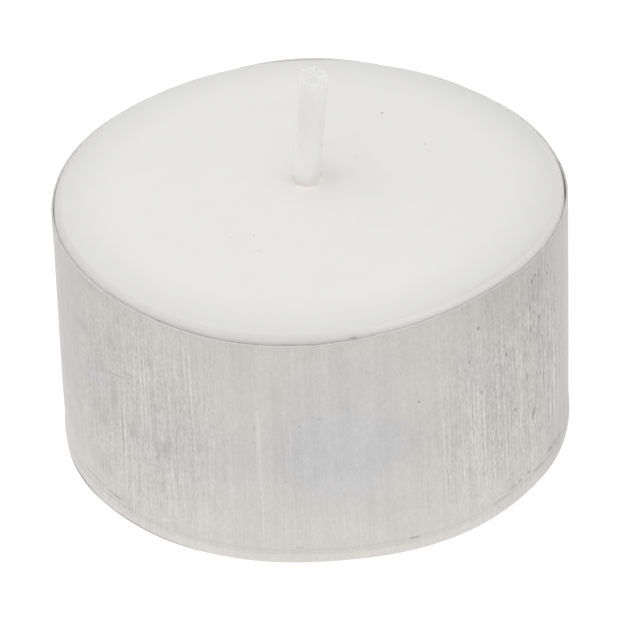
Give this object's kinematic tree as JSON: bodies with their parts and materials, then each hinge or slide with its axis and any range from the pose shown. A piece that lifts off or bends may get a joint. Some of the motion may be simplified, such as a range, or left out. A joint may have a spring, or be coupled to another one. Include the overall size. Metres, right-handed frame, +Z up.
{
  "type": "tea light candle",
  "caption": "Small round candle: a domed white wax tablet with an upright waxed wick, in a shallow straight-walled aluminium cup that stands flat or drops into a holder.",
  "frame": {"origin": "centre of the cup's base, on the surface that it stands on", "axes": "+Z up along the cup's axis; the wick leans a little towards +X; the picture looks along +Y from -Y and above"},
  "size_m": [0.0381, 0.038, 0.0302],
  "materials": {
    "cup": "drawn satin, with fine upright streaks",
    "wax": "matte white wax",
    "wick": "waxed cotton",
    "sustainer": "tinned"
  },
  "bodies": {
    "root": {"cup": "cup", "wax": "wax", "wick": "wick", "wick_sustainer": "sustainer"}
  },
  "joints": []
}
